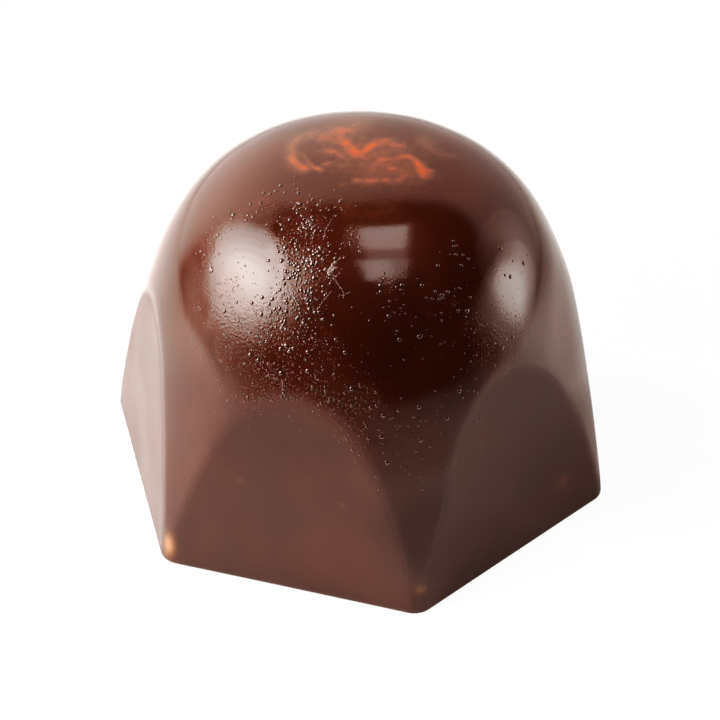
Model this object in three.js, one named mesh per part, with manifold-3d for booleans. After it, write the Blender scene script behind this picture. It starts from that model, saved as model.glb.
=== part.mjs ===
// Moulded chocolate praline: a round dome whose foot is cut to a hexagon by six leaning facets.
// Millimetres, +Z up, the foot on z = 0 and the dome's axis on Z. One facet faces -Y.
import * as THREE from 'three';
import { mergeVertices } from 'three/addons/utils/BufferGeometryUtils.js';
import Module from 'manifold-3d';

// Hexagonal foot
const SIDES = 6;
const ACROSS_CORNERS = 30;
const CORNER_ROUND = 1.2;
const FOOT_ROUND = 0.3;
const FACET_LEAN = THREE.MathUtils.degToRad(5.3);

// Dome: one cubic curve from the crown down to the foot's corners
const HEIGHT = 20;
const DOME_FOOT_RADIUS = ACROSS_CORNERS / 2;
const DOME_FOOT_LEAN = THREE.MathUtils.degToRad(12.5);
const CROWN_REACH = 10.6;
const FLANK_REACH = 17.4;

// Fineness of the curved surfaces, and how far the cutting shapes run past the praline
const PROFILE_STEPS = 36;
const ROUND_STEPS = 72;
const CORNER_STEPS = 3;
const FOOT_STEPS = 3;
const OVERRUN = 2;

const CHOCOLATE_COLOUR = 0x3a1c14;
const CHOCOLATE_ROUGHNESS = 0.25;

const HALF_SECTOR = Math.PI / SIDES;
const APOTHEM = (ACROSS_CORNERS / 2) * Math.cos(HALF_SECTOR);

// Solid of revolution under the dome's curve, carried straight on below the foot
function domeGeometry() {
  const sine = Math.sin(DOME_FOOT_LEAN);
  const cosine = Math.cos(DOME_FOOT_LEAN);
  const curve = new THREE.CubicBezierCurve(
    new THREE.Vector2(DOME_FOOT_RADIUS, 0),
    new THREE.Vector2(DOME_FOOT_RADIUS - FLANK_REACH * sine, FLANK_REACH * cosine),
    new THREE.Vector2(CROWN_REACH, HEIGHT),
    new THREE.Vector2(0, HEIGHT),
  );
  const skirt = DOME_FOOT_RADIUS + OVERRUN * Math.tan(DOME_FOOT_LEAN);
  const profile = [
    new THREE.Vector2(0, -OVERRUN),
    new THREE.Vector2(skirt, -OVERRUN),
    ...curve.getPoints(PROFILE_STEPS),
  ];
  return new THREE.LatheGeometry(profile, ROUND_STEPS).rotateX(Math.PI / 2);
}

// Outline of the foot: a hexagon with a round at each corner
function footShape() {
  const shape = new THREE.Shape();
  const centreDistance = (APOTHEM - CORNER_ROUND) / Math.cos(HALF_SECTOR);
  for (let corner = 0; corner < SIDES; corner += 1) {
    const bearing = 2 * HALF_SECTOR * corner;
    shape.absarc(
      centreDistance * Math.cos(bearing),
      centreDistance * Math.sin(bearing),
      CORNER_ROUND,
      bearing - HALF_SECTOR,
      bearing + HALF_SECTOR,
      false,
    );
  }
  shape.closePath();
  return shape;
}

// Hexagonal block with a rounded foot edge, drawn in towards the top so that its sides lean
function facetGeometry() {
  const block = new THREE.ExtrudeGeometry(footShape(), {
    depth: HEIGHT + OVERRUN,
    curveSegments: CORNER_STEPS,
    bevelEnabled: true,
    bevelThickness: FOOT_ROUND,
    bevelSize: FOOT_ROUND,
    bevelOffset: -FOOT_ROUND,
    bevelSegments: FOOT_STEPS,
  }).translate(0, 0, FOOT_ROUND);
  const place = block.getAttribute('position');
  for (let i = 0; i < place.count; i += 1) {
    const shrink = 1 - (place.getZ(i) * Math.tan(FACET_LEAN)) / APOTHEM;
    place.setXY(i, place.getX(i) * shrink, place.getY(i) * shrink);
  }
  return block;
}

const wasm = await Module();
wasm.setup();

function toSolid(geometry) {
  geometry.deleteAttribute('normal');
  geometry.deleteAttribute('uv');
  const welded = mergeVertices(geometry, 1e-4);
  return new wasm.Manifold(new wasm.Mesh({
    numProp: 3,
    vertProperties: new Float32Array(welded.getAttribute('position').array),
    triVerts: new Uint32Array(welded.index.array),
  }));
}

function toGeometry(solid) {
  const mesh = solid.getMesh();
  const geometry = new THREE.BufferGeometry();
  geometry.setAttribute('position', new THREE.BufferAttribute(mesh.vertProperties, mesh.numProp));
  geometry.setIndex(new THREE.BufferAttribute(mesh.triVerts, 1));
  geometry.computeVertexNormals();
  return geometry;
}

const pralineSolid = toSolid(domeGeometry()).intersect(toSolid(facetGeometry()));

const praline = new THREE.Mesh(
  toGeometry(pralineSolid),
  new THREE.MeshStandardMaterial({
    color: CHOCOLATE_COLOUR,
    roughness: CHOCOLATE_ROUGHNESS,
    metalness: 0,
  }),
);
praline.name = 'praline';

const part = new THREE.Group();
part.name = 'chocolate_praline';
part.add(praline);

export default part;
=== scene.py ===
"""Chocolate praline: a glossy moulded dome over a hexagonal foot with arched facets,
fine raised beads on the dome and a smear of orange cocoa butter on the crown."""
import math

import bpy
import numpy as np
from mathutils import Matrix, Vector


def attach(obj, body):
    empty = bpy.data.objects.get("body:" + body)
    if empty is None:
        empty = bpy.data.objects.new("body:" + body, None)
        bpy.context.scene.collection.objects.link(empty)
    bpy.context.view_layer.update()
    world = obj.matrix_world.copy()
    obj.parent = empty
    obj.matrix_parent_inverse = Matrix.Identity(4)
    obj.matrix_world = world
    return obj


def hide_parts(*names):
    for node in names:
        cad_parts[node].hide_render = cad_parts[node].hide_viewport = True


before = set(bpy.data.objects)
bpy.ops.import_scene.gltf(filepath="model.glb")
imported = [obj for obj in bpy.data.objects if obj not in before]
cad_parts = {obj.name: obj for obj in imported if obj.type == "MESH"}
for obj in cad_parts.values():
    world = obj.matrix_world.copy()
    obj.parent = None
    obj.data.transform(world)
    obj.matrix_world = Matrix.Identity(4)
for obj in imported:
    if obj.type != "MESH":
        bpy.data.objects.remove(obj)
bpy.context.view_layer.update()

MM = 0.001
SEED = 20

# Moulded form, in millimetres
SIDES = 6
ACROSS_CORNERS = 30.0
CORNER_ROUND = 1.2
FOOT_ROUND = 0.3
FACET_LEAN = math.radians(5.3)
HEIGHT = 20.0
DOME_FOOT_RADIUS = ACROSS_CORNERS / 2
DOME_FOOT_LEAN = math.radians(12.5)
CROWN_REACH = 10.6
FLANK_REACH = 17.4
EDGE_SOFT = 0.18
HALF_SECTOR = math.pi / SIDES
APOTHEM = ACROSS_CORNERS / 2 * math.cos(HALF_SECTOR)

# Unevenness of the cast surface
WAVE_COUNT = 9
WAVE_HEIGHT = 0.009
WAVE_SHORTEST = 2.5
WAVE_LONGEST = 7.0
WAVE_FADE = 2.0

# Low blisters of the skin: centre, radius and height
BLISTERS = (
    ((-2.42, -6.81, 18.88), 0.70, 0.026), ((-1.78, -7.79, 18.45), 0.45, 0.015),
    ((-0.81, -9.30, 17.30), 0.50, 0.010), ((-2.50, -9.89, 16.16), 0.60, 0.010),
    ((-3.60, -9.60, 16.00), 0.50, 0.008), ((-1.50, -8.80, 17.60), 0.55, 0.009),
    ((-3.30, -5.90, 18.95), 0.55, 0.009), ((-5.60, -8.20, 16.50), 0.60, 0.008),
)

# Fineness of the skin
SIDE_ROWS = 168
FOOT_ROWS = 5
CROWN_SPAN = 5.5
CROWN_EXTRA = 0.8
BASE_SHRINKS = (0.97, 0.8, 0.5, 0.2)
COLUMNS = 552
CURVE_SAMPLES = 4001
NORMAL_STEP = 2e-4


def soft_min(first, second, width):
    """The smaller of the two; where they come within width of each other the corner is
    rounded by taking off a quarter of (width - gap) squared over width."""
    near = np.maximum(width - np.abs(first - second), 0.0)
    return np.minimum(first, second) - near * near / (4.0 * width)


def dome_curve(t):
    """Radius and height of the dome: a cubic curve from the crown (t = 0), level there,
    to the foot's corner (t = 1), where it leans in by the foot lean."""
    sine, cosine = math.sin(DOME_FOOT_LEAN), math.cos(DOME_FOOT_LEAN)
    radii = (0.0, CROWN_REACH, DOME_FOOT_RADIUS - FLANK_REACH * sine, DOME_FOOT_RADIUS)
    heights = (HEIGHT, HEIGHT, FLANK_REACH * cosine, 0.0)
    s = 1.0 - t
    weights = (s ** 3, 3 * s * s * t, 3 * s * t * t, t ** 3)
    radius = sum(w * r for w, r in zip(weights, radii))
    height = sum(w * h for w, h in zip(weights, heights))
    return radius, height


def foot_reach(angle, apothem):
    """Distance from the axis to a hexagon with rounded corners: apothem over the cosine
    of the angle from the nearest facet, and near a corner the far side of its round."""
    from_facet = np.mod(angle, 2 * HALF_SECTOR) - HALF_SECTOR
    from_corner = HALF_SECTOR - np.abs(from_facet)
    inner = apothem - CORNER_ROUND
    centre = inner / math.cos(HALF_SECTOR)
    across = centre * np.sin(from_corner)
    beyond = np.sqrt(np.maximum(CORNER_ROUND ** 2 - across ** 2, 0.0))
    rounded = centre * np.cos(from_corner) + beyond
    flat_end = np.arctan(inner * math.tan(HALF_SECTOR) / apothem)
    return np.where(np.abs(from_facet) < flat_end, apothem / np.cos(from_facet), rounded)


def make_waves(seed, count, shortest, longest):
    """Directions, wave numbers and phases of waves with lengths between the two limits."""
    rng = np.random.default_rng(seed)
    way = rng.normal(size=(count, 3))
    way /= np.linalg.norm(way, axis=1, keepdims=True)
    length = rng.uniform(shortest, longest, count)
    return way * (2 * math.pi / length)[:, None], rng.uniform(0, 2 * math.pi, count)


def wave_sum(points, waves):
    """Sum of sines of the points along each wave's direction, about one in spread."""
    numbers, phases = waves
    return np.sin(points @ numbers.T + phases).sum(axis=-1) / math.sqrt(len(phases) / 2)


SWELLS = make_waves(SEED, WAVE_COUNT, WAVE_SHORTEST, WAVE_LONGEST)


def praline_skin(t, angle):
    """Point of the skin: the dome's radius and the foot's reach at that height, whichever
    is smaller with a soft crossing, less the foot's round, with a low swell of sines and
    flat-topped blisters, each its rise times a bell of the distance's fourth power."""
    radius, height = dome_curve(t)
    reach = foot_reach(angle, APOTHEM - height * math.tan(FACET_LEAN))
    rounding = np.maximum(FOOT_ROUND - height, 0.0)
    inset = FOOT_ROUND - np.sqrt(np.maximum(FOOT_ROUND ** 2 - rounding ** 2, 0.0))
    out = soft_min(radius, reach, EDGE_SOFT) - inset
    flat = np.stack([out * np.cos(angle), out * np.sin(angle), height + 0.0 * angle], axis=-1)
    swell = WAVE_HEIGHT * wave_sum(flat, SWELLS)
    fade = np.clip(height / WAVE_FADE, 0.0, 1.0) * np.clip(radius / WAVE_FADE, 0.0, 1.0)
    grow = 1.0 + swell * fade / np.maximum(out, 1.0)
    skin = flat * np.stack([grow, grow, np.ones_like(grow)], axis=-1)
    for centre, size, rise in BLISTERS:
        gap = ((flat - np.array(centre)) ** 2).sum(axis=-1) / size ** 2
        skin = skin + (rise * np.exp(-gap * gap))[..., None] * flat / HEIGHT
    return skin


def facet_share(t, angle):
    """1 on a facet and 0 on the dome, with a smooth step where the two reaches cross."""
    radius, height = dome_curve(t)
    reach = foot_reach(angle, APOTHEM - height * math.tan(FACET_LEAN))
    share = np.clip((radius - reach) / EDGE_SOFT + 0.5, 0.0, 1.0)
    return share * share * (3.0 - 2.0 * share)


def skin_normal(t, angle):
    """Outward unit normal: cross product of the skin's small steps in t and in angle."""
    down = praline_skin(t + NORMAL_STEP, angle) - praline_skin(t - NORMAL_STEP, angle)
    around = praline_skin(t, angle + NORMAL_STEP) - praline_skin(t, angle - NORMAL_STEP)
    normal = np.cross(down, around)
    return normal / np.linalg.norm(normal, axis=-1, keepdims=True)


def profile_rows():
    """Values of t for the rows: even steps along the dome's curve, closer on the crown, down
    to the foot's round, then equal turns around that round."""
    fine = np.linspace(0.0, 1.0, CURVE_SAMPLES)
    radius, height = dome_curve(fine)
    along = np.concatenate([[0.0], np.cumsum(np.hypot(np.diff(radius), np.diff(height)))])
    along = along + CROWN_EXTRA * np.minimum(along, CROWN_SPAN)
    end = np.interp(-FOOT_ROUND, -height, along)
    side = np.interp(np.linspace(0.0, end, SIDE_ROWS + 1)[1:], along, fine)
    turn = np.linspace(0.0, math.pi / 2, FOOT_ROWS + 1)[1:]
    foot = np.interp(-FOOT_ROUND * (1.0 - np.sin(turn)), -height, fine)
    return np.concatenate([side, foot])


def make_mesh(name, points, quads, triangles, flat=0):
    """Mesh from points in millimetres and arrays of corner numbers; the last flat
    triangles are not smoothed."""
    mesh = bpy.data.meshes.new(name)
    corners = np.concatenate([quads.ravel(), triangles.ravel()]).astype(np.int32)
    quad_starts = np.arange(len(quads)) * 4
    starts = np.concatenate([quad_starts, len(quads) * 4 + np.arange(len(triangles)) * 3])
    mesh.vertices.add(len(points))
    mesh.vertices.foreach_set("co", (points * MM).astype(np.float32).ravel())
    mesh.loops.add(len(corners))
    mesh.loops.foreach_set("vertex_index", corners)
    mesh.polygons.add(len(starts))
    mesh.polygons.foreach_set("loop_start", starts.astype(np.int32))
    smooth = np.ones(len(starts), dtype=bool)
    smooth[len(starts) - flat:] = False
    mesh.polygons.foreach_set("use_smooth", smooth)
    mesh.update(calc_edges=True)
    piece = bpy.data.objects.new(name, mesh)
    bpy.context.scene.collection.objects.link(piece)
    return piece


# Cocoa butter strokes on the crown: path (x, y), widths at both ends, strengths at both ends
STROKES = (
    (((-4.28, 1.35), (-4.22, 0.65), (-3.90, -0.16), (-3.31, -0.89), (-2.93, -0.97)),
     0.24, 0.22, 0.30, 1.00),
    (((-3.50, 2.71), (-4.06, 2.37), (-4.32, 1.68), (-4.27, 0.90)), 0.42, 0.34, 0.34, 0.34),
    (((-3.44, 0.37), (-2.99, -0.32), (-2.47, -0.86), (-2.07, -0.88)), 0.13, 0.15, 0.25, 0.68),
    (((-1.98, -0.40), (-1.77, -0.12)), 0.13, 0.13, 0.52, 0.46),
    (((-4.15, 2.22), (-3.44, 2.53), (-2.72, 2.80), (-2.31, 3.18)), 0.55, 0.62, 0.28, 0.56),
    (((-2.90, 2.07), (-2.40, 2.17), (-1.85, 2.10)), 0.38, 0.36, 0.34, 0.56),
    (((-2.28, 3.11), (-1.75, 2.33), (-1.18, 1.64), (-0.78, 1.18), (-0.49, 1.09)), 0.40, 0.24, 0.46, 1.00),
    (((-0.49, 1.09), (-0.20, 1.68), (0.00, 2.11), (0.20, 2.58)), 0.23, 0.28, 1.00, 0.70),
    (((0.20, 2.58), (0.58, 2.87), (1.00, 2.79), (1.49, 2.69)), 0.32, 0.36, 0.70, 0.46),
    (((-2.18, 0.99), (-1.77, 0.97), (-1.26, 0.56), (-0.90, 0.36)), 0.24, 0.16, 0.60, 0.40),
    (((0.82, 0.85), (1.14, 1.12), (1.55, 1.28), (1.83, 1.68), (2.20, 1.77)), 0.26, 0.24, 0.44, 0.58),
    (((2.20, 1.77), (2.66, 1.53), (3.04, 1.09), (3.42, 0.42)), 0.21, 0.22, 0.56, 1.00),
    (((3.28, 0.96), (3.66, 0.97)), 0.16, 0.14, 0.80, 0.50),
    (((1.59, 0.23), (1.82, 0.32)), 0.17, 0.17, 0.60, 0.60),
    (((0.29, -1.36), (0.72, -1.28), (1.24, -1.05), (1.71, -0.88)), 0.22, 0.22, 0.56, 0.44),
    (((2.07, -0.80), (2.32, -0.53), (2.50, 0.00)), 0.20, 0.20, 0.50, 0.46),
    (((0.76, -0.07), (1.47, 0.66), (2.47, 0.34)), 0.95, 0.95, 0.32, 0.32),
    (((2.52, 4.00), (2.87, 3.43), (3.20, 3.19)), 0.40, 0.40, 0.34, 0.34),
    (((0.30, 1.30), (0.80, 1.90), (1.40, 2.10)), 0.45, 0.45, 0.40, 0.34),
    (((3.70, 2.78), (4.26, 3.18)), 0.22, 0.22, 0.20, 0.20),
    (((-1.71, 3.41), (-1.50, 4.09), (-1.44, 4.80)), 0.55, 0.60, 0.50, 0.42),
    (((-0.48, -2.02), (0.04, -1.60)), 0.12, 0.12, 0.22, 0.14),
    (((3.48, -1.20), (4.31, -0.68)), 0.15, 0.15, 0.10, 0.10),
    (((0.60, -4.00), (1.60, -3.80), (2.40, -3.40)), 0.75, 0.75, 0.15, 0.15),
    (((-1.01, -0.27), (-0.54, -0.07), (0.28, 0.24)), 0.40, 0.40, 0.24, 0.24),
    (((0.75, 0.40), (1.06, 0.69), (1.48, 0.85)), 0.18, 0.18, 0.38, 0.38),
)
STROKE_STEPS = 60
STROKE_SMOOTHINGS = 6
STROKE_OVERLAP = 0.25
FEATHER = 2.6
FEATHER_SHARE = 0.37
SMEAR_HAZE = 0.20
HAZE_CENTRE = (-0.2, 1.2)
HAZE_SPREAD = (4.0, 2.6)
SMEAR_REACH = 7.0
SMEAR_LOWEST = 0.8 * HEIGHT
BRISTLE_COUNT = 7
BRISTLE_SHORTEST = 0.25
BRISTLE_LONGEST = 0.9
BRISTLE_DEPTH = 0.08
BRISTLES = make_waves(SEED + 5, BRISTLE_COUNT, BRISTLE_SHORTEST, BRISTLE_LONGEST)


def stroke_path(corners):
    """Smooth path through the corners: piecewise straight, then averaged along itself."""
    corners = np.array(corners)
    run = np.concatenate([[0.0], np.cumsum(np.linalg.norm(np.diff(corners, axis=0), axis=1))])
    at = np.linspace(0.0, run[-1], STROKE_STEPS)
    path = np.stack([np.interp(at, run, corners[:, k]) for k in range(2)], axis=-1)
    for _ in range(STROKE_SMOOTHINGS):
        path[1:-1] = 0.25 * path[:-2] + 0.5 * path[1:-1] + 0.25 * path[2:]
    return path


def smear_cover(points):
    """How much cocoa butter lies on each point: for each stroke, a bell of the distance to
    its path with a wider feathered one below; the strongest stroke on a faint haze, all
    thinned here and there by short waves like a brush's bristles."""
    across, along = ((points[:, k] - HAZE_CENTRE[k]) / HAZE_SPREAD[k] for k in range(2))
    cover = SMEAR_HAZE * np.exp(-across ** 2 - along ** 2)
    share = np.linspace(0.0, 1.0, STROKE_STEPS)
    for corners, wide, last, strong, fade in STROKES:
        path = stroke_path(corners)
        gap = ((points[:, None, :2] - path[None]) ** 2).sum(axis=-1)
        nearest = np.argmin(gap, axis=1)
        near = np.take_along_axis(gap, nearest[:, None], axis=1)[:, 0]
        place = share[nearest]
        width = wide + (last - wide) * place
        strength = strong + (fade - strong) * place
        bell = (1 - FEATHER_SHARE) * np.exp(-near / width ** 2)
        bell += FEATHER_SHARE * np.exp(-near / (FEATHER * width) ** 2)
        stroke = strength * bell
        cover = np.maximum(cover, stroke) + STROKE_OVERLAP * np.minimum(cover, stroke)
    return np.clip(cover * (1.0 + BRISTLE_DEPTH * wave_sum(points, BRISTLES)), 0.0, 1.0)


# Pale peach marks on the foot, partly painted highlights on its corners and a facet: centre, spreads
# along x, y and z, strength
MARKS_AND_HIGHLIGHTS = (
    ((-7.22, -12.80, 1.25), (0.36, 0.36, 0.62), 1.00),
    ((7.44, -12.59, 1.71), (0.30, 0.30, 0.26), 0.30),
    ((13.04, -2.86, 2.92), (0.30, 0.45, 0.40), 0.14),
    ((2.76, -12.39, 6.49), (0.14, 0.30, 0.14), 0.12),
    ((-3.04, -12.36, 6.77), (0.14, 0.30, 0.14), 0.12),
)


def mark_and_highlight_cover(points):
    """Strength of the pale marks, partly painted highlights, at each point: the most of a bell around
    each.
    """
    cover = np.zeros(len(points))
    for centre, spreads, strength in MARKS_AND_HIGHLIGHTS:
        away = (((points - np.array(centre)) / np.array(spreads)) ** 2).sum(axis=-1)
        cover = np.maximum(cover, strength * np.exp(-away))
    return cover


# Raised beads: centre of a patch (x, y, z), its spread, its coarse and its fine beads per
# square millimetre
BEAD_PATCHES = (
    ((-1.8, -5.6, 19.4), 0.9, 10.0, 12.0), ((-1.0, -7.0, 18.9), 0.8, 12.0, 16.0),
    ((-0.7, -8.3, 18.2), 0.8, 12.0, 14.0), ((-0.6, -9.3, 17.3), 0.8, 10.0, 20.0),
    ((-0.5, -10.0, 16.4), 0.9, 9.0, 22.0), ((-2.2, -9.0, 17.3), 1.2, 2.0, 2.0),
    ((-2.5, -10.2, 15.7), 1.1, 2.0, 38.0), ((-4.0, -9.9, 15.4), 0.8, 0.6, 20.0),
    ((-1.3, -9.8, 16.6), 0.9, 2.0, 18.0), ((-2.6, -10.8, 14.5), 1.2, 1.4, 30.0),
    ((-1.1, -11.2, 14.1), 1.3, 1.5, 28.0), ((0.5, -11.5, 13.6), 1.2, 0.9, 20.0),
    ((-3.2, -11.3, 12.8), 1.2, 0.2, 8.0), ((2.0, -11.5, 13.1), 1.1, 0.9, 19.0),
    ((3.1, -11.5, 12.5), 1.1, 0.8, 15.0), ((0.2, -10.6, 15.5), 1.1, 2.0, 9.0),
    ((5.9, -7.4, 17.1), 0.8, 3.0, 1.0), ((4.1, -7.7, 17.9), 0.9, 2.4, 1.0),
    ((4.4, -8.9, 16.6), 1.1, 1.0, 0.5), ((6.5, -4.2, 18.6), 0.6, 2.4, 0.0),
    ((7.3, -5.8, 17.3), 0.9, 1.8, 1.0), ((8.0, -6.7, 15.8), 0.9, 2.4, 7.0),
    ((9.1, -6.4, 14.4), 0.8, 2.0, 13.0), ((-1.7, -4.2, 19.8), 0.9, 3.2, 1.0),
    ((0.2, -4.2, 19.8), 0.9, 2.4, 1.0), ((-3.3, -3.7, 19.7), 0.8, 2.0, 1.0),
    ((1.2, -5.9, 19.3), 0.5, 5.0, 6.0), ((3.6, -7.6, 18.1), 0.6, 3.0, 5.0),
    ((1.8, -10.8, 14.9), 1.2, 1.0, 3.0), ((4.8, -11.3, 11.4), 1.4, 2.0, 4.0),
    ((5.9, -11.4, 9.3), 1.4, 2.0, 3.0), ((-6.5, -6.1, 17.7), 0.7, 0.8, 1.0),
    ((6.9, -8.5, 14.8), 1.2, 0.7, 0.5), ((8.2, -8.6, 12.5), 1.3, 1.2, 1.0),
    ((8.9, -2.7, 17.3), 0.8, 1.0, 7.0), ((9.9, -4.6, 14.9), 0.7, 2.0, 14.0),
    ((-6.8, -6.3, 17.3), 0.55, 2.4, 14.0), ((-6.1, -7.6, 16.8), 0.8, 1.0, 13.0),
    ((-4.8, -9.0, 16.2), 0.9, 1.0, 17.0), ((-5.4, -9.3, 15.1), 0.8, 0.4, 14.0),
    ((-6.5, -5.3, 18.2), 0.5, 2.0, 12.0), ((-5.2, -4.7, 19.0), 0.6, 2.6, 10.0),
    ((-4.1, -4.1, 19.4), 0.7, 2.8, 7.0), ((-2.0, -6.4, 19.1), 0.6, 5.0, 6.0),
    ((-1.7, -7.8, 18.4), 0.4, 3.0, 3.0), ((0.4, -7.2, 18.9), 0.6, 3.0, 6.0),
    ((0.5, -8.8, 17.9), 0.7, 2.0, 8.0),
)
BEADS_LOWEST = 5.0
BEADS_FADE = 5.0
BEHIND_TURN = 172.0
BEHIND_SHARE = 0.55
BEHIND_HIGHEST = 16.5
BEHIND_FADE = 2.0
COARSE_BEAD = {"sides": 10, "rings": 3, "contact": 44.0, "median": 0.085, "spread": 0.30}
FINE_BEAD = {"sides": 8, "rings": 2, "contact": 38.0, "median": 0.039, "spread": 0.28}
BEAD_LARGEST = 0.15
BEAD_STRETCH = 0.35
BEAD_SINK = 0.012
RIM_TOLERANCE = 1e-6
BEAD_ROUGHNESS = 0.04
BEAD_IOR = 1.72
FOAM_FULL = 20.0
CLUMP_COUNT = 12
CLUMP_SHORTEST = 0.8
CLUMP_LONGEST = 2.6
CLUMP_DEPTH = 0.45
CLUMPS = make_waves(SEED + 7, CLUMP_COUNT, CLUMP_SHORTEST, CLUMP_LONGEST)

# Thin raised veins that run out from a pale crumb of froth
VEINS = (
    ((0.72, -7.58, 18.68), (0.96, -7.01, 18.95)),
    ((0.82, -8.02, 18.40), (1.03, -8.23, 18.24), (1.27, -8.41, 18.08), (1.65, -8.67, 17.81),
     (1.67, -8.87, 17.62)),
    ((1.40, -8.83, 17.70), (1.90, -8.54, 17.87)),
    ((0.96, -8.71, 17.86), (0.73, -9.05, 17.57), (0.58, -9.25, 17.37), (0.35, -9.59, 17.00)),
    ((-0.18, -4.50, 19.70), (-0.24, -5.02, 19.60), (-0.32, -5.61, 19.46), (-0.22, -6.30, 19.26)),
    ((0.56, -7.88, 18.51), (0.33, -7.86, 18.53)),
)
VEIN_STEP = 0.05
VEIN_SIZE = 0.036
VEIN_UNEVEN = (0.7, 1.3)
CRUMB_CENTRE = (0.68, -7.79, 18.56)
CRUMB_SPREAD = 0.13
CRUMB_COUNT = 22
CRUMB_SIZE = 0.095
CRUMB_UNEVEN = (0.6, 1.3)
CRUMB_SCATTER = 0.015


def bead_density(points):
    """Coarse and fine beads per square millimetre: bells around the patches, the lower
    patches again but thinner round the back, all gathered into clumps by short waves."""
    coarse = np.zeros(points.shape[:-1])
    fine = np.zeros(points.shape[:-1])
    for turn in (0.0, BEHIND_TURN):
        c, s = math.cos(math.radians(turn)), math.sin(math.radians(turn))
        for (x, y, z), spread, coarse_share, fine_share in BEAD_PATCHES:
            if turn and z > BEHIND_HIGHEST:
                continue
            centre = np.array((c * x - s * y, s * x + c * y, z))
            bell = np.exp(-((points - centre) ** 2).sum(axis=-1) / (2 * spread ** 2))
            if turn:
                bell *= BEHIND_SHARE * np.clip((BEHIND_HIGHEST - points[..., 2]) / BEHIND_FADE, 0.0, 1.0)
            coarse = coarse + bell * coarse_share
            fine = fine + bell * fine_share
    fade = np.clip((points[..., 2] - BEADS_LOWEST) / BEADS_FADE, 0.0, 1.0)
    clump = np.exp(CLUMP_DEPTH * wave_sum(points, CLUMPS) - 0.5 * CLUMP_DEPTH ** 2) * fade
    return coarse * clump, fine * clump


def build_body(rows, angles):
    """Skin on a grid of t down the profile by angle round the axis, closed by the crown's
    point above and by shrinking rings of the foot's outline below."""
    skin = praline_skin(rows[:, None], angles[None, :])
    base = np.stack([skin[-1] * np.array((k, k, 1.0)) for k in BASE_SHRINKS])
    rings = np.concatenate([skin, base])
    rings[len(skin) - 1:, :, 2] = 0.0
    count = len(rings)
    points = np.concatenate([rings.reshape(-1, 3), [[0.0, 0.0, HEIGHT], [0.0, 0.0, 0.0]]])
    here = np.arange(COLUMNS)
    after = (here + 1) % COLUMNS
    row = np.arange(count - 1)[:, None] * COLUMNS
    quads = np.stack([row + here, row + COLUMNS + here, row + COLUMNS + after, row + after], axis=-1)
    crown, middle = count * COLUMNS, count * COLUMNS + 1
    low = (count - 1) * COLUMNS
    top_fan = np.stack([np.full(COLUMNS, crown), here, after], axis=-1)
    low_fan = np.stack([np.full(COLUMNS, middle), low + after, low + here], axis=-1)
    fans = np.concatenate([top_fan, low_fan])
    piece = make_mesh("praline_body", points, quads.reshape(-1, 4), fans)
    near_crown = np.hypot(points[:, 0], points[:, 1]) < SMEAR_REACH
    near_crown &= points[:, 2] > SMEAR_LOWEST
    cover = np.zeros(len(points))
    cover[near_crown] = smear_cover(points[near_crown])
    facet = np.ones(len(points))
    facet[:skin.shape[0] * COLUMNS] = facet_share(rows[:, None], angles[None, :]).ravel()
    facet[crown] = 0.0
    foam = np.clip(sum(bead_density(points)) / FOAM_FULL, 0.0, 1.0)
    layers = {"cocoa_butter": cover, "facet": facet, "foam": foam, "pale_mark_and_highlight": mark_and_highlight_cover(points)}
    for label, values in layers.items():
        layer = piece.data.attributes.new(label, "FLOAT", "POINT")
        layer.data.foreach_set("value", values.astype(np.float32))
    return piece, skin


def draw_places(density, rows, angles, skin, rng):
    """Places t and angle drawn at random from the skin's cells by area times density."""
    down = skin[1:, :] - skin[:-1, :]
    around = np.roll(skin, -1, axis=1)[:-1] - skin[:-1]
    area = np.linalg.norm(np.cross(down, around), axis=-1)
    weight = (area * density).ravel()
    number = int(weight.sum())
    cell = rng.choice(weight.size, size=number, p=weight / weight.sum())
    row, column = np.divmod(cell, COLUMNS)
    t = rows[row] + rng.uniform(size=number) * (rows[row + 1] - rows[row])
    return t, angles[column] + rng.uniform(size=number) * (2 * math.pi / COLUMNS)


def point_places(points):
    """Places t and angle of points on the dome: t where the dome's curve has their height."""
    fine = np.linspace(0.0, 1.0, CURVE_SAMPLES)
    return np.interp(-points[:, 2], -dome_curve(fine)[1], fine), np.arctan2(points[:, 1], points[:, 0])


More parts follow.
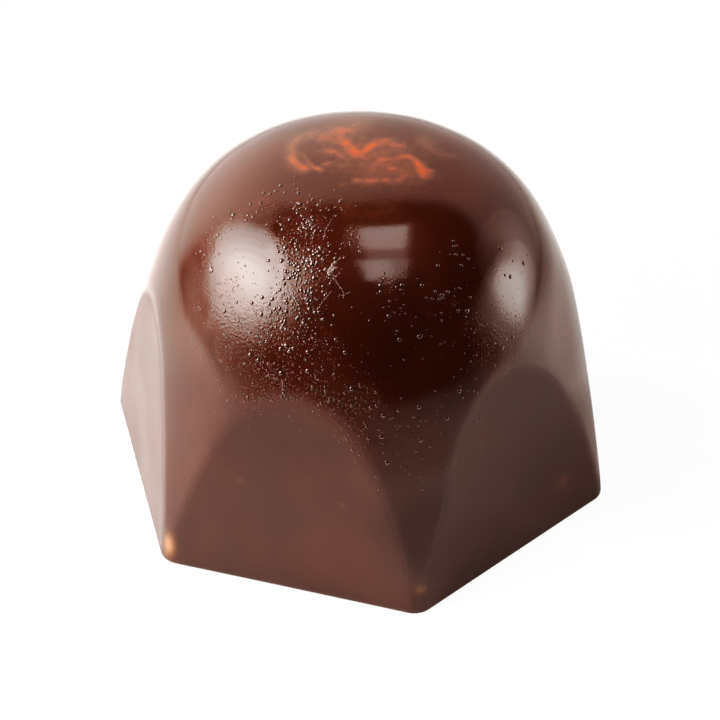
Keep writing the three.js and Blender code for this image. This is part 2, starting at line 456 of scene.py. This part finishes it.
def build_caps(name, kind, t, angle, size, rng):
    """Caps of balls standing on the skin along its own normal. Ring k of n lies at the polar
    angle contact times k over n; each cap is a little longer one way and closed below."""
    number = len(t)
    place = praline_skin(t, angle)
    normal = skin_normal(t, angle)
    side = np.cross(normal, rng.normal(size=(number, 3)))
    side /= np.linalg.norm(side, axis=1, keepdims=True)
    other = np.cross(normal, side)
    stretch = 1.0 + BEAD_STRETCH * rng.uniform(size=number) ** 3
    sides, levels = kind["sides"], kind["rings"]
    contact = math.radians(kind["contact"])
    polar = contact * np.arange(1, levels + 1) / levels
    turn = np.arange(sides) * (2 * math.pi / sides)
    wide = np.sin(polar)[:, None] / math.sin(contact)
    tall = (np.cos(polar)[:, None] - math.cos(contact)) / math.sin(contact)
    rings = np.stack([wide * np.cos(turn), wide * np.sin(turn), tall + 0.0 * turn], axis=-1)
    local = np.concatenate([[[0.0, 0.0, math.tan(contact / 2)]], rings.reshape(-1, 3)])
    along, across, rise = (local[None, :, k:k + 1] for k in range(3))
    lift = rise * size[:, None, None] + BEAD_SINK * (rise > RIM_TOLERANCE)
    points = (
        place[:, None] - normal[:, None] * BEAD_SINK
        + along * (size * stretch)[:, None, None] * side[:, None]
        + across * size[:, None, None] * other[:, None]
        + lift * normal[:, None]
    )
    here = np.arange(sides)
    after = (here + 1) % sides
    start = 1 + np.arange(levels - 1)[:, None] * sides
    quads = np.stack([start + here, start + sides + here, start + sides + after, start + after], axis=-1)
    cap = np.stack([np.zeros(sides, dtype=int), 1 + here, 1 + after], axis=-1)
    low = 1 + (levels - 1) * sides
    under = np.stack([np.full(sides - 2, low), low + here[2:], low + here[1:-1]], axis=-1)
    first = (np.arange(number) * local.shape[0])[:, None, None]
    all_quads = (first + quads.reshape(1, -1, 4)).reshape(-1, 4)
    all_caps = (first + cap[None]).reshape(-1, 3)
    all_under = (first + under[None]).reshape(-1, 3)
    return make_mesh(name, points.reshape(-1, 3), all_quads,
                     np.concatenate([all_caps, all_under]), flat=len(all_under))


def build_beads(name, kind, density, rows, angles, skin, seed):
    """Beads strewn by density, their radii spread about the median by a bell of logarithms."""
    rng = np.random.default_rng(seed)
    t, angle = draw_places(density, rows, angles, skin, rng)
    size = kind["median"] * np.exp(kind["spread"] * rng.normal(size=len(t)))
    return build_caps(name, kind, t, angle, np.minimum(size, BEAD_LARGEST), rng)


def build_crumb():
    """Rows of fine caps along the veins and a heap of larger ones for the crumb."""
    rng = np.random.default_rng(SEED + 4)
    dots, sizes = [], []
    for line in VEINS:
        line = np.array(line)
        run = np.concatenate([[0.0], np.cumsum(np.linalg.norm(np.diff(line, axis=0), axis=1))])
        at = np.arange(0.0, run[-1], VEIN_STEP)
        dots.append(np.stack([np.interp(at, run, line[:, k]) for k in range(3)], axis=-1))
        sizes.append(VEIN_SIZE * rng.uniform(*VEIN_UNEVEN, len(at)))
    dots.append(np.array(CRUMB_CENTRE) + CRUMB_SPREAD * rng.normal(size=(CRUMB_COUNT, 3)))
    sizes.append(CRUMB_SIZE * rng.uniform(*CRUMB_UNEVEN, CRUMB_COUNT))
    points = np.concatenate(dots)
    points = points + CRUMB_SCATTER * rng.normal(size=points.shape)
    return build_caps("praline_crumb", FINE_BEAD, *point_places(points), np.concatenate(sizes), rng)


# Colours of the chocolate, its froth with a painted glow, its pale marks that are partly painted
# highlights, and the cocoa butter
CHOCOLATE_DARK = (0.0375, 0.0088, 0.0037, 1.0)
CHOCOLATE_WARM = (0.0490, 0.0122, 0.0050, 1.0)
# Warmer froth colour: a painted glow of light through the froth
CHOCOLATE_FROTH_GLOW = (0.0560, 0.0138, 0.0052, 1.0)
PEACH_MARK_AND_HIGHLIGHT = (0.300, 0.130, 0.062, 1.0)
BUTTER_HAZE = (0.072, 0.026, 0.0140, 1.0)
BUTTER_THIN = (0.140, 0.038, 0.016, 1.0)
BUTTER_THICK = (0.235, 0.040, 0.006, 1.0)
FROTH_PALE = (0.120, 0.078, 0.066, 1.0)
FROTH_GLOW_SHARE = 0.5

# Noises: features per metre, detail and, where it isn't a half, roughness; the ranges of a
# noise or a cover that carry it from none to all
TONE_NOISE = (220.0, 3.0)
TONE_RANGE = (0.35, 0.70)
DULL_NOISE = (160.0, 4.0)
DULL_RANGE = (0.35, 0.75)
GRAIN_NOISE = (4200.0, 3.0, 0.6)
FROTH_NOISE = (8000.0, 2.0)
STREAK_NOISE = (1700.0, 5.0, 0.65)
STREAK_RANGE = (0.32, 0.70)
STREAK_COVER = (0.58, 1.10)
HAZE_COVER = (0.0, 0.28)
THIN_COVER = (0.22, 0.62)
THICK_COVER = (0.55, 0.95)

# Gloss: roughness of the dome, what the facets add to it, and the bump
DOME_ROUGHNESS = (0.09, 0.15)
FACET_ROUGHNESS = 0.30
CRUMB_ROUGHNESS = 0.2
SKIN_IOR = 1.5
GRAIN_SHARE = 0.12
BUMP_DISTANCE = 0.02


def new_group(name, inputs, outputs):
    """Empty shader node group with the named sockets, and its inner ends."""
    group = bpy.data.node_groups.new(name, "ShaderNodeTree")
    for label, kind, value in inputs:
        socket = group.interface.new_socket(label, in_out="INPUT", socket_type=kind)
        if value is not None:
            socket.default_value = value
    for label, kind in outputs:
        group.interface.new_socket(label, in_out="OUTPUT", socket_type=kind)
    return group, group.nodes.new("NodeGroupInput"), group.nodes.new("NodeGroupOutput")


def add_noise(tree, scale, detail, rough=0.5):
    """Noise on Object coordinates; scale is in features per metre."""
    coords = tree.nodes.new("ShaderNodeTexCoord")
    noise = tree.nodes.new("ShaderNodeTexNoise")
    noise.inputs["Scale"].default_value = scale
    noise.inputs["Detail"].default_value = detail
    noise.inputs["Roughness"].default_value = rough
    tree.links.new(coords.outputs["Object"], noise.inputs["Vector"])
    return noise.outputs["Fac"]


def add_range(tree, source, low, high, to_low, to_high):
    """Source from low..high carried to to_low..to_high, smoothly and clamped."""
    node = tree.nodes.new("ShaderNodeMapRange")
    node.interpolation_type = "SMOOTHSTEP"
    for label, value in (("From Min", low), ("From Max", high), ("To Min", to_low), ("To Max", to_high)):
        node.inputs[label].default_value = value
    tree.links.new(source, node.inputs["Value"])
    return node.outputs["Result"]


def add_mix(tree, factor, first, second):
    """Colour between first and second; each is a colour or a socket."""
    node = tree.nodes.new("ShaderNodeMix")
    node.data_type = "RGBA"
    tree.links.new(factor, node.inputs["Factor"])
    first_colour, second_colour = node.inputs[6], node.inputs[7]
    for socket, value in ((first_colour, first), (second_colour, second)):
        if isinstance(value, tuple):
            socket.default_value = value
        else:
            tree.links.new(value, socket)
    return node.outputs[2]


def add_math(tree, kind, first, second):
    """One operation on two numbers or sockets."""
    node = tree.nodes.new("ShaderNodeMath")
    node.operation = kind
    for socket, value in zip(node.inputs, (first, second)):
        if isinstance(value, (int, float)):
            socket.default_value = value
        else:
            tree.links.new(value, socket)
    return node.outputs[0]


def add_vector(tree, kind, source, fixed):
    """One measure, such as a dot product, of a vector socket against a fixed vector."""
    node = tree.nodes.new("ShaderNodeVectorMath")
    node.operation = kind
    node.inputs[1].default_value = tuple(fixed)
    tree.links.new(source, node.inputs[0])
    return node.outputs["Value"]


def cocoa_tone_group():
    """Chocolate colour: dark brown with soft warmer clouds."""
    group, _, out = new_group("cocoa_tone", (), (("Colour", "NodeSocketColor"),))
    cloud = add_range(group, add_noise(group, *TONE_NOISE), *TONE_RANGE, 0.0, 1.0)
    group.links.new(add_mix(group, cloud, CHOCOLATE_DARK, CHOCOLATE_WARM), out.inputs["Colour"])
    return group


def cast_gloss_group():
    """Gloss of the cast surface: roughness with broad dull clouds, duller on the facets, and
    a bump height of faint grain everywhere and strong froth where there is foam."""
    group, ends, out = new_group(
        "cast_gloss",
        (("Facet", "NodeSocketFloat", 0.0), ("Foam", "NodeSocketFloat", 0.0)),
        (("Roughness", "NodeSocketFloat"), ("Height", "NodeSocketFloat")))
    cloud = add_range(group, add_noise(group, *DULL_NOISE), *DULL_RANGE, *DOME_ROUGHNESS)
    dull = add_math(group, "MULTIPLY", ends.outputs["Facet"], FACET_ROUGHNESS)
    group.links.new(add_math(group, "ADD", cloud, dull), out.inputs["Roughness"])
    grain = add_math(group, "MULTIPLY", add_noise(group, *GRAIN_NOISE), GRAIN_SHARE)
    froth = add_math(group, "MULTIPLY", add_noise(group, *FROTH_NOISE), ends.outputs["Foam"])
    group.links.new(add_math(group, "ADD", grain, froth), out.inputs["Height"])
    return group


def place_group(tree, group):
    """The group as a node in a material."""
    node = tree.nodes.new("ShaderNodeGroup")
    node.node_tree = group
    return node


def new_material(name):
    """Empty node material and its Principled shader."""
    material = bpy.data.materials.new(name)
    material.use_nodes = True
    tree = material.node_tree
    return material, tree, tree.nodes["Principled BSDF"]


def bead_material(tone):
    """Chocolate of the beads: the shared tone, smooth and glossy."""
    material, tree, shader = new_material("chocolate_beads")
    tree.links.new(place_group(tree, tone).outputs["Colour"], shader.inputs["Base Color"])
    shader.inputs["Roughness"].default_value = BEAD_ROUGHNESS
    shader.inputs["IOR"].default_value = BEAD_IOR
    return material


def froth_material():
    """Pale froth of the crumb and its veins."""
    material, _, shader = new_material("pale_froth")
    shader.inputs["Base Color"].default_value = FROTH_PALE
    shader.inputs["Roughness"].default_value = CRUMB_ROUGHNESS
    return material


def add_layer(tree, label):
    """Value of one of the skin's attributes."""
    node = tree.nodes.new("ShaderNodeAttribute")
    node.attribute_name = label
    return node.outputs["Fac"]


def body_material(tone, gloss):
    """Chocolate, a little warmer in the froth as a painted glow of light through it, with the pale marks,
    partly painted highlights, and the orange cocoa butter brushed over it where the skin's attributes
    say."""
    material, tree, shader = new_material("dark_chocolate")
    gloss_node = place_group(tree, gloss)
    tree.links.new(add_layer(tree, "facet"), gloss_node.inputs["Facet"])
    foam = add_layer(tree, "foam")
    tree.links.new(foam, gloss_node.inputs["Foam"])
    bump = tree.nodes.new("ShaderNodeBump")
    bump.inputs["Strength"].default_value = 1.0
    bump.inputs["Distance"].default_value = BUMP_DISTANCE * MM
    tree.links.new(gloss_node.outputs["Height"], bump.inputs["Height"])
    tree.links.new(bump.outputs["Normal"], shader.inputs["Normal"])
    tree.links.new(gloss_node.outputs["Roughness"], shader.inputs["Roughness"])
    colour = place_group(tree, tone).outputs["Colour"]
    # Painted glow: the chocolate made warmer where there is froth
    froth_glow = add_math(tree, "MULTIPLY", foam, FROTH_GLOW_SHARE)
    colour = add_mix(tree, froth_glow, colour, CHOCOLATE_FROTH_GLOW)
    # Pale marks, partly painted highlights on the foot's corners and a facet
    colour = add_mix(tree, add_layer(tree, "pale_mark_and_highlight"), colour, PEACH_MARK_AND_HIGHLIGHT)
    streak = add_range(tree, add_noise(tree, *STREAK_NOISE), *STREAK_RANGE, *STREAK_COVER)
    amount = add_math(tree, "MULTIPLY", add_layer(tree, "cocoa_butter"), streak)
    coats = ((HAZE_COVER, BUTTER_HAZE), (THIN_COVER, BUTTER_THIN), (THICK_COVER, BUTTER_THICK))
    for cover, butter in coats:
        colour = add_mix(tree, add_range(tree, amount, *cover, 0.0, 1.0), colour, butter)
    tree.links.new(colour, shader.inputs["Base Color"])
    shader.inputs["IOR"].default_value = SKIN_IOR
    return material


# Camera: the photograph's distance, lens and angles
CAMERA_AZIMUTH = math.radians(15.68)
CAMERA_ELEVATION = math.radians(38.10)
CAMERA_ROLL = math.radians(1.06)
CAMERA_DISTANCE = 149.8
CAMERA_LENS = 130.95
SENSOR = 36.0
AIM_HEIGHT = 9.0
AIM_RIGHT = 0.10
AIM_UP = -1.95
NEAREST_SEEN = 10.0

RIGHTWARD = np.array((math.cos(CAMERA_AZIMUTH), math.sin(CAMERA_AZIMUTH), 0.0))
TOWARD = np.array((math.sin(CAMERA_AZIMUTH), -math.cos(CAMERA_AZIMUTH), 0.0))
UPWARD = np.array((0.0, 0.0, 1.0))
SIDEWAYS = 0.5


def place_camera():
    """Camera on the line from the aim point at the set azimuth, elevation and roll."""
    back = TOWARD * math.cos(CAMERA_ELEVATION) + UPWARD * math.sin(CAMERA_ELEVATION)
    up = np.cross(back, RIGHTWARD)
    c, s = math.cos(CAMERA_ROLL), math.sin(CAMERA_ROLL)
    across, above = c * RIGHTWARD + s * up, c * up - s * RIGHTWARD
    spot = UPWARD * AIM_HEIGHT + across * AIM_RIGHT + above * AIM_UP + back * CAMERA_DISTANCE
    data = bpy.data.cameras.new("camera")
    data.lens = CAMERA_LENS
    data.sensor_width = SENSOR
    data.clip_start = NEAREST_SEEN * MM
    camera = bpy.data.objects.new("camera", data)
    turn = Matrix((across, above, back)).transposed()
    camera.matrix_world = Matrix.Translation(Vector(spot * MM)) @ turn.to_4x4()
    bpy.context.scene.collection.objects.link(camera)
    bpy.context.scene.camera = camera


def add_panel(name, centre, face, width, height, radiance, colour, shape, roll=0.0, mirrored=True):
    """Soft light panel: centre in millimetres, face the way its back points; its width runs
    along the camera's right, or for a panel at the side towards the camera, turned by the
    roll. Its power is radiance times pi times its area. One that is not mirrored lights the
    praline without showing in its gloss."""
    face = np.array(face) / np.linalg.norm(face)
    across = RIGHTWARD if abs(face @ RIGHTWARD) < SIDEWAYS else TOWARD
    level = across - face * (across @ face)
    level /= np.linalg.norm(level)
    c, s = math.cos(math.radians(roll)), math.sin(math.radians(roll))
    side = c * level + s * np.cross(face, level)
    above = np.cross(face, side)
    data = bpy.data.lights.new(name, "AREA")
    data.shape = shape
    data.size = width * MM
    data.size_y = height * MM
    area = width * height * MM * MM * (math.pi / 4 if shape == "ELLIPSE" else 1.0)
    data.energy = radiance * math.pi * area
    data.color = colour
    lamp = bpy.data.objects.new(name, data)
    turn = Matrix((side, above, face)).transposed()
    lamp.matrix_world = Matrix.Translation(Vector(np.array(centre) * MM)) @ turn.to_4x4()
    lamp.visible_camera = False
    lamp.visible_glossy = mirrored
    bpy.context.scene.collection.objects.link(lamp)


def add_soft_disc(name, azimuth, elevation, distance, roll, rings, colour):
    """Round light with a soft rim: discs, each a step nearer than the last, given by their half
    angles seen from the praline and their radiance; where they overlap their light adds up."""
    az, el = math.radians(azimuth), math.radians(elevation)
    way = (RIGHTWARD * math.sin(az) + TOWARD * math.cos(az)) * math.cos(el) + UPWARD * math.sin(el)
    for number, (wide, tall, radiance) in enumerate(rings):
        away = distance - DISC_STEP * number
        centre = UPWARD * EYE_HEIGHT + way * away
        size = [2 * away * math.tan(math.radians(half)) for half in (wide, tall)]
        add_panel(f"{name}_{number}", centre, way, size[0], size[1], radiance, colour, "ELLIPSE", roll)


# Studio: soft window on the left, low card on the right, panes and their bar overhead
EYE_HEIGHT = 15.0
DISC_STEP = 1.5
WINDOW_RINGS = (
    (37.0, 31.0, 2.6), (34.0, 28.5, 2.2), (31.0, 26.0, 2.0), (27.0, 23.0, 2.0),
    (22.0, 19.0, 2.2), (16.0, 14.0, 2.6), (10.0, 9.0, 2.2),
)
SILL_RINGS = ((23.0, 11.0, 1.0), (18.0, 8.0, 0.9))
CARD_RINGS = (
    (26.0, 18.0, 0.9), (21.0, 16.0, 0.6), (17.0, 14.5, 0.7), (14.0, 13.0, 0.9),
    (12.0, 12.0, 1.1), (9.5, 10.5, 1.1), (7.0, 8.5, 1.0),
)
GLOW_RINGS = ((24.0, 22.0, 0.38), (18.0, 17.0, 0.32), (12.0, 11.0, 0.3))
WINDOW_COLOUR = (1.0, 0.99, 0.965)
SILL_COLOUR = (1.0, 0.96, 0.93)
CARD_COLOUR = (1.0, 0.96, 0.92)

# Round lights: name, azimuth from the camera's side and elevation, distance, roll, rings, colour
ROUND_LIGHTS = (
    ("window_left", -81.0, 36.0, 170.0, -26.0, WINDOW_RINGS, WINDOW_COLOUR),
    ("sill_left", -90.0, 4.0, 172.0, 0.0, SILL_RINGS, SILL_COLOUR),
    ("card_right", 93.5, 10.0, 120.0, 0.0, CARD_RINGS, CARD_COLOUR),
    ("card_glow", 110.0, 19.0, 125.0, 0.0, GLOW_RINGS, CARD_COLOUR),
)

# Panes overhead: name, place to the right and towards the camera, width, depth, radiance
PANE_HEIGHT = 218.0
PANE_TURN = 8.0
PANE_CENTRE = (28.0, -20.0)
PANES = (
    ("pane_back", 4.0, -55.0, 54.0, 74.0, 4.8),
    ("pane_bar", 5.0, 0.0, 58.0, 34.0, 2.4),
    ("pane_front", -11.0, 54.0, 44.0, 74.0, 4.9),
    ("pane_front_dim", 25.0, 54.0, 28.0, 74.0, 3.2),
)
PANE_COLOUR = (0.90, 0.94, 0.95)

# Fill: place to the right, towards the camera and up, width, radiance
FILL_PLACE = (40.0, 60.0, 250.0)
FILL_WIDTH = 300.0
FILL_RADIANCE = 2.9
FILL_COLOUR = (1.0, 0.97, 0.95)


def light_scene():
    """Window, card and panes that the gloss mirrors, and a fill from above that it doesn't."""
    for light in ROUND_LIGHTS:
        add_soft_disc(*light)
    c, s = math.cos(math.radians(PANE_TURN)), math.sin(math.radians(PANE_TURN))
    along, across = c * RIGHTWARD - s * TOWARD, c * TOWARD + s * RIGHTWARD
    middle = RIGHTWARD * PANE_CENTRE[0] + TOWARD * PANE_CENTRE[1] + UPWARD * PANE_HEIGHT
    for name, right, toward, width, depth, radiance in PANES:
        centre = middle + along * right + across * toward
        add_panel(name, centre, UPWARD, width, depth, radiance, PANE_COLOUR, "RECTANGLE", PANE_TURN)
    right, toward, up = FILL_PLACE
    over = UPWARD * up + TOWARD * toward + RIGHTWARD * right
    add_panel("fill_above", over, over, FILL_WIDTH, FILL_WIDTH, FILL_RADIANCE, FILL_COLOUR,
              "ELLIPSE", mirrored=False)


# Pale wall behind; places are parts of a unit direction: back, right and up
WALL_COLOUR = (1.0, 0.95, 0.92, 1.0)
VIEW_WHITE = (1.0, 1.0, 1.0, 1.0)
WALL_EDGE = (0.26, 0.58)
WALL_SKEW = 0.06
WALL_REACH = 0.17
REACH_UP = (0.0, 0.25)
REACH_RIGHT = (0.0, 0.7)
WALL_SIDES = (-0.75, 0.25)
WALL_RADIANCE = (2.85, 1.15)
WALL_TOP = (0.685, 0.755)
TOP_SLOPE = 0.10
WALL_LOW = (0.0, 0.4)
LOW_SHARE = 0.88
HORIZON = (-0.06, -0.008)
HORIZON_RADIANCE = (0.86, 0.01)


def paint_wall():
    """Wall behind, bright up to about 45 degrees and fading from left to right, which reaches
    further round low on the right, and the far table below the horizon; straight views see
    plain white."""
    world = bpy.data.worlds.new("studio")
    world.use_nodes = True
    bpy.context.scene.world = world
    tree = world.node_tree
    coords = tree.nodes.new("ShaderNodeTexCoord").outputs["Generated"]
    back, right, up = [
        add_vector(tree, "DOT_PRODUCT", coords, axis) for axis in (-TOWARD, RIGHTWARD, UPWARD)
    ]
    behind = add_math(tree, "ADD", back, add_math(tree, "MULTIPLY", right, WALL_SKEW))
    reach = add_range(tree, up, *REACH_UP, WALL_REACH, 0.0)
    reach = add_math(tree, "MULTIPLY", reach, add_range(tree, right, *REACH_RIGHT, 0.0, 1.0))
    behind = add_math(tree, "ADD", behind, reach)
    glow = add_range(tree, behind, *WALL_EDGE, 0.0, 1.0)
    tilt = add_math(tree, "ADD", up, add_math(tree, "MULTIPLY", right, TOP_SLOPE))
    for share in (
        add_range(tree, right, *WALL_SIDES, *WALL_RADIANCE),
        add_range(tree, tilt, *WALL_TOP, 1.0, 0.0),
        add_range(tree, up, *WALL_LOW, LOW_SHARE, 1.0),
    ):
        glow = add_math(tree, "MULTIPLY", glow, share)
    glow = add_math(tree, "MAXIMUM", glow, add_range(tree, up, *HORIZON, *HORIZON_RADIANCE))
    seen = tree.nodes.new("ShaderNodeLightPath").outputs["Is Camera Ray"]
    ground = tree.nodes["Background"]
    tree.links.new(add_mix(tree, seen, WALL_COLOUR, VIEW_WHITE), ground.inputs["Color"])
    tree.links.new(add_math(tree, "MAXIMUM", glow, seen), ground.inputs["Strength"])


# Table: its colours and painted shades, and where each fades in, in millimetres from the praline's axis
TABLE_HALF = 130.0
TABLE_DROP = 0.02
TABLE_ROUGHNESS = 0.9
TABLE_PALE = (0.83, 0.815, 0.80, 1.0)
# Painted shade: the table greyer in front and behind
TABLE_FRONT_SHADE = (0.58, 0.57, 0.555, 1.0)
TABLE_SHADE = (0.30, 0.29, 0.28, 1.0)
TABLE_BACK_SHADE_LEFT = (0.63, 0.615, 0.60, 1.0)
TABLE_BACK_SHADE_RIGHT = (0.42, 0.41, 0.40, 1.0)
FRONT_FADE = (22.0, 60.0)
BACK_WAY = 185.0
BACK_FADE = (0.0, 40.0)
SIDE_FADE = (-15.0, 15.0)

# Shaded spots: place to the right and towards the camera, fade, depth
SHADES = (
    ((9.5, 11.5), (3.0, 9.0), 0.65), ((17.5, 0.0), (5.0, 17.0), 0.74),
    ((12.0, 27.0), (5.0, 14.0), 0.49), ((23.0, -18.0), (4.0, 24.0), 0.70),
)

# Glow by the foot's left, and the share of white in straight views
TABLE_GLOW = 0.27
GLOW_COLOUR = (1.0, 0.95, 0.91, 1.0)
GLOW_CENTRE = (-10.0, 10.0)
GLOW_FADE = (16.0, 42.0)
WHITE_FADE = (18.0, 60.0)
WHITE_SHARE = 0.90


def lay_floor():
    """White table: a flat square just under the foot, with painted shade in front and behind, a painted
    shadow by the foot's right and a painted glow of light by its left; straight views of it are lifted
    towards white, reflections see its plain shading and the painted light."""
    corners = np.array([[-1.0, -1.0], [1.0, -1.0], [1.0, 1.0], [-1.0, 1.0]]) * TABLE_HALF
    points = np.column_stack([corners, np.full(4, -TABLE_DROP)])
    floor = make_mesh("table", points, np.array([[0, 1, 2, 3]]), np.zeros((0, 3), dtype=int))
    material, tree, shader = new_material("white_table")
    coords = tree.nodes.new("ShaderNodeTexCoord").outputs["Object"]

    def along(axis, fade):
        """0 to 1 where the way along the axis runs through the fade."""
        way = add_vector(tree, "DOT_PRODUCT", coords, axis)
        return add_range(tree, way, fade[0] * MM, fade[1] * MM, 0.0, 1.0)

    def around(spot, fade, inner, outer):
        """Inner to outer value where the distance from the spot runs through the fade."""
        centre = (RIGHTWARD * spot[0] + TOWARD * spot[1]) * MM
        gap = add_vector(tree, "DISTANCE", coords, centre)
        return add_range(tree, gap, fade[0] * MM, fade[1] * MM, inner, outer)

    turn = math.radians(BACK_WAY)
    # Painted shade in front and behind, left and right
    front = along(TOWARD, FRONT_FADE)
    back = along(RIGHTWARD * math.sin(turn) + TOWARD * math.cos(turn), BACK_FADE)
    back_shade_colour = add_mix(tree, along(RIGHTWARD, SIDE_FADE), TABLE_BACK_SHADE_LEFT, TABLE_BACK_SHADE_RIGHT)
    # Painted shadow spots by the foot's right
    shade = 0.0
    for spot, fade, depth in SHADES:
        shade = add_math(tree, "MAXIMUM", shade, around(spot, fade, depth, 0.0))
    colour = add_mix(tree, front, TABLE_PALE, TABLE_FRONT_SHADE)
    colour = add_mix(tree, back, colour, back_shade_colour)
    colour = add_mix(tree, shade, colour, TABLE_SHADE)
    tree.links.new(colour, shader.inputs["Base Color"])
    # Painted glow: the table emits a little light by the foot's left
    tree.links.new(around(GLOW_CENTRE, GLOW_FADE, TABLE_GLOW, 0.0), shader.inputs["Emission Strength"])
    shader.inputs["Emission Color"].default_value = GLOW_COLOUR
    shader.inputs["Roughness"].default_value = TABLE_ROUGHNESS
    lift = tree.nodes.new("ShaderNodeEmission")
    lift.inputs["Color"].default_value = VIEW_WHITE
    lift.inputs["Strength"].default_value = 1.0
    seen = tree.nodes.new("ShaderNodeLightPath").outputs["Is Camera Ray"]
    white = around((0.0, 0.0), WHITE_FADE, WHITE_SHARE, 1.0)
    mix = tree.nodes.new("ShaderNodeMixShader")
    tree.links.new(add_math(tree, "MULTIPLY", seen, white), mix.inputs["Fac"])
    tree.links.new(shader.outputs["BSDF"], mix.inputs[1])
    tree.links.new(lift.outputs["Emission"], mix.inputs[2])
    tree.links.new(mix.outputs["Shader"], tree.nodes["Material Output"].inputs["Surface"])
    floor.data.materials.append(material)


# Photograph's tone: deep shadows held down, the rest left alone
TONE_POINTS = (
    (0.036, 0.008), (0.07, 0.020), (0.115, 0.046), (0.19, 0.118), (0.32, 0.29), (0.5, 0.5),
    (0.75, 0.77),
)


def set_tone():
    """Display curve through the tone points, in linear light."""
    view = bpy.context.scene.view_settings
    view.view_transform = "Standard"
    view.use_curve_mapping = True
    combined = view.curve_mapping.curves[3]
    for x, y in TONE_POINTS:
        combined.points.new(x, y)
    view.curve_mapping.update()


def main():
    """Builds the praline and the studio round it."""
    rows = profile_rows()
    angles = np.arange(COLUMNS) * (2 * math.pi / COLUMNS)
    tone, gloss = cocoa_tone_group(), cast_gloss_group()
    body, skin = build_body(rows, angles)
    body.data.materials.append(body_material(tone, gloss))
    coarse, fine = bead_density(skin[:-1])
    beads = build_beads("praline_beads", COARSE_BEAD, coarse, rows, angles, skin, SEED + 1)
    fine_beads = build_beads("praline_fine_beads", FINE_BEAD, fine, rows, angles, skin, SEED + 2)
    crumb = build_crumb()
    shiny = bead_material(tone)
    for piece in (beads, fine_beads):
        piece.data.materials.append(shiny)
    crumb.data.materials.append(froth_material())
    for piece in (body, beads, fine_beads, crumb):
        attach(piece, "root")
    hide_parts("praline")
    place_camera()
    light_scene()
    paint_wall()
    lay_floor()
    set_tone()


main()
bpy.context.view_layer.update()
